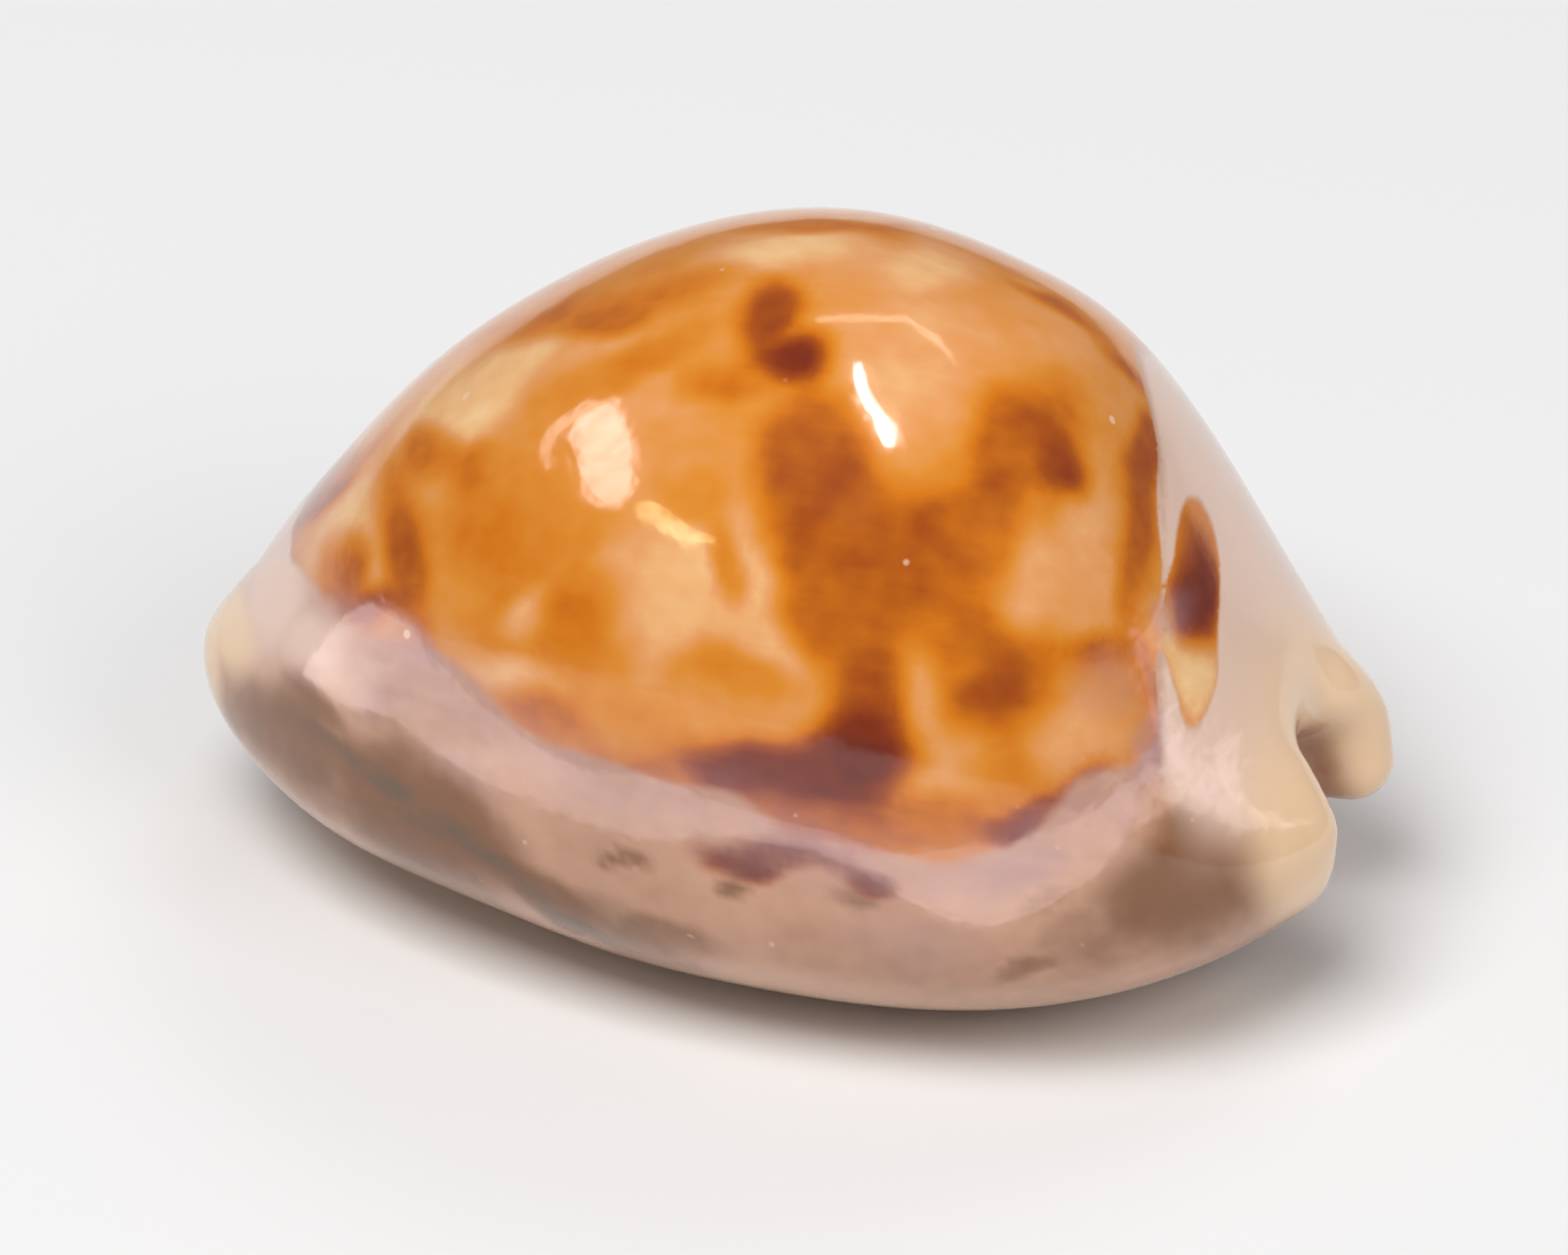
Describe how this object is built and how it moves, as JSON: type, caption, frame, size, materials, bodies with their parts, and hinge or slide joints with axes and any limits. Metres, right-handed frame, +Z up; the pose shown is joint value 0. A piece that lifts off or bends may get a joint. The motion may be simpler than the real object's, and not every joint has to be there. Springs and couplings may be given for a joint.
{
  "type": "cowrie shell",
  "caption": "Glossy humped cowrie shell lying on its base, with a long toothed aperture underneath and a canal notch at each end.",
  "frame": {"origin": "centre of the shell's outline seen from above, at the height of the flat spot it rests on", "axes": "+X to the front (anterior) end, +Y to the inner (columellar) side, -Y to the outer lip's side, +Z up through the back"},
  "size_m": [0.0696, 0.0457, 0.042],
  "materials": {
    "shell": "high natural gloss, blotched orange-brown on peach, paler margins and ends"
  },
  "bodies": {
    "root": {"shell": "shell"}
  },
  "joints": []
}
